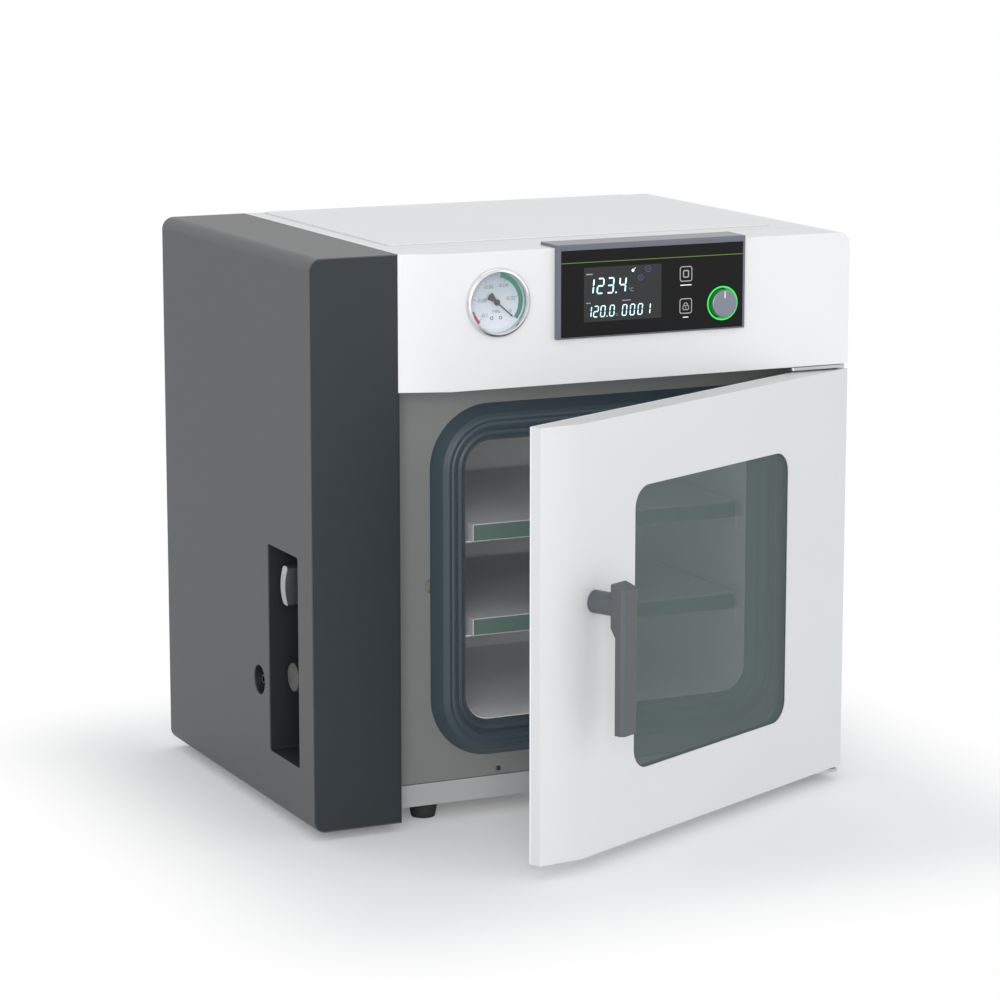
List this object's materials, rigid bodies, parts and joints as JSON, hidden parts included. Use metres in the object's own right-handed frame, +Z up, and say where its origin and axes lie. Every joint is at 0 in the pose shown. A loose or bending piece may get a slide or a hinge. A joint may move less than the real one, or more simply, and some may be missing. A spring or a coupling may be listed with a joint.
{
  "type": "bench-top vacuum oven",
  "caption": "Bench-top vacuum drying oven with a hinged glazed door standing open, shelves, vacuum gauge, control panel and a side column with valves.",
  "frame": {"origin": "on the table, at the centre of the four feet", "axes": "+X to the right seen from the front, +Y to the back, +Z up; the door opens towards -Y"},
  "size_m": [0.586, 0.6476, 0.574],
  "materials": {
    "white_paint": "fine-textured powder coat, white",
    "door_paint": "fine-textured powder coat, white",
    "dark_paint": "fine-textured powder coat, dark grey",
    "front_paint": "fine-textured powder coat, anthracite",
    "grey_paint": "powder coat, mid grey",
    "sill_paint": "powder coat, light grey",
    "galvanised": "zinc-coated sheet, dull",
    "stainless": "satin stainless steel",
    "shelf_aluminium": "satin anodised",
    "hinge_steel": "satin",
    "brass": "machined",
    "pipe_steel": "drawn tube, bright",
    "seal_rubber": "moulded silicone, matt blue-grey",
    "foot_rubber": "matt black",
    "mineral_wool": "fibrous, matt",
    "heater_silicone": "ribbed silicone, matt",
    "tinted_glass": "grey tinted",
    "clear_glass": "clear",
    "chrome": "polished",
    "dial_face": "printed scale",
    "black_plastic": "satin black",
    "handle_grey": "satin grey",
    "bezel_grey": "satin grey",
    "panel_glass": "black, printed behind",
    "knob_grey": "satin anodised",
    "light_ring": "translucent, green light behind",
    "circuit_board": "solder resist",
    "screen": "liquid crystal display",
    "screw_steel": "zinc-plated"
  },
  "bodies": {
    "cabinet": {"side_cover": "dark_paint", "column_front": "front_paint", "column_partition": "front_paint", "column_liner": "black_plastic", "vacuum_valve_body": "brass", "release_valve_body": "brass", "hose_nozzle": "chrome", "vacuum_pipes": "pipe_steel", "body_shell": "white_paint", "top_plate": "white_paint", "front_fascia": "white_paint", "front_frame": "grey_paint", "sill": "sill_paint", "base_pan": "galvanised", "deck_plate": "galvanised", "rear_panel": "white_paint", "chamber": "stainless", "heater_mats": "heater_silicone", "insulation": "mineral_wool", "temperature_probe": "pipe_steel", "door_seal": "seal_rubber", "shelf_rails": "stainless", "gauge_case": "pipe_steel", "gauge_bezel": "chrome", "gauge_lens": "clear_glass", "gauge_dial": "dial_face", "control_bezel": "bezel_grey", "control_glass": "panel_glass", "display_module": "screen", "control_board": "circuit_board", "knob_light_ring": "light_ring", "power_inlet": "black_plastic", "power_supply": "galvanised", "feet": "foot_rubber", "foot_screws": "screw_steel", "hinge_plates": "hinge_steel", "hinge_pins": "hinge_steel", "panel_screws": "screw_steel"},
    "door": {"hinge_bushes": "black_plastic", "door_skin": "door_paint", "door_liner": "stainless", "door_window": "tinted_glass", "window_frame": "black_plastic", "door_glass": "clear_glass", "pane_gasket": "seal_rubber", "glass_clips": "screw_steel", "stem_bush": "black_plastic", "latch_guides": "screw_steel"},
    "handle": {"handle_stem": "chrome", "handle_bar": "handle_grey", "stem_circlip": "screw_steel"},
    "latch": {"latch_hook": "screw_steel"},
    "shelf_above": {"upper_shelf": "shelf_aluminium"},
    "shelf_below": {"lower_shelf": "shelf_aluminium"},
    "vacuum_valve": {"vacuum_valve_handle": "black_plastic"},
    "release_valve": {"release_valve_knob": "brass"},
    "needle": {"gauge_needle": "black_plastic"},
    "dial_plunger": {"encoder_plunger": "pipe_steel"},
    "dial": {"dial_knob": "knob_grey"},
    "power_switch": {"power_rocker": "black_plastic"}
  },
  "joints": [
    {"name": "door_hinge", "type": "hinge", "parent": "cabinet", "child": "door", "pos_m": [0.2325, -0.2065, 0.2225], "axis": [0, 0, 1], "range_deg": [-25.9, 84.1]},
    {"name": "handle_turn", "type": "hinge", "parent": "door", "child": "handle", "pos_m": [-0.13154, -0.39772, 0.2605], "axis": [0.4368, -0.8996, 0], "range_deg": [0, 90]},
    {"name": "latch_slide", "type": "slide", "parent": "door", "child": "latch", "axis": [0, 0, 1], "range_m": [0, 0.006]},
    {"name": "upper_shelf_slide", "type": "slide", "parent": "cabinet", "child": "shelf_above", "axis": [0, -1, 0], "range_m": [0, 0.05]},
    {"name": "lower_shelf_slide", "type": "slide", "parent": "cabinet", "child": "shelf_below", "axis": [0, -1, 0], "range_m": [0, 0.05]},
    {"name": "vacuum_valve_turn", "type": "hinge", "parent": "cabinet", "child": "vacuum_valve", "pos_m": [-0.32, -0.1255, 0.2406], "axis": [-1, 0, 0], "range_deg": [0, 90]},
    {"name": "release_knob_turn", "type": "hinge", "parent": "cabinet", "child": "release_valve", "pos_m": [-0.32, -0.1255, 0.1477], "axis": [-1, 0, 0], "range_deg": [0, 360]},
    {"name": "gauge_needle_sweep", "type": "hinge", "parent": "cabinet", "child": "needle", "pos_m": [-0.1475, -0.2195, 0.5212], "axis": [0, -1, 0], "range_deg": [0, 266], "stiffness_Nm_per_rad": 0.002},
    {"name": "dial_press", "type": "slide", "parent": "cabinet", "child": "dial_plunger", "axis": [0, 1, 0], "range_m": [0, 0.001], "stiffness_N_per_m": 1500, "springref_m": -0.001},
    {"name": "dial_spin", "type": "hinge", "parent": "dial_plunger", "child": "dial", "pos_m": [0.096, -0.23, 0.5077], "axis": [0, -1, 0], "continuous": true},
    {"name": "power_rocker_tilt", "type": "hinge", "parent": "cabinet", "child": "power_switch", "pos_m": [0.16, 0.2005, 0.112], "axis": [-1, 0, 0], "range_deg": [0, 12]}
  ],
  "couplings": [
    {"joint": "latch_slide", "follows": "handle_turn", "m_per_rad": 0.0038197}
  ]
}
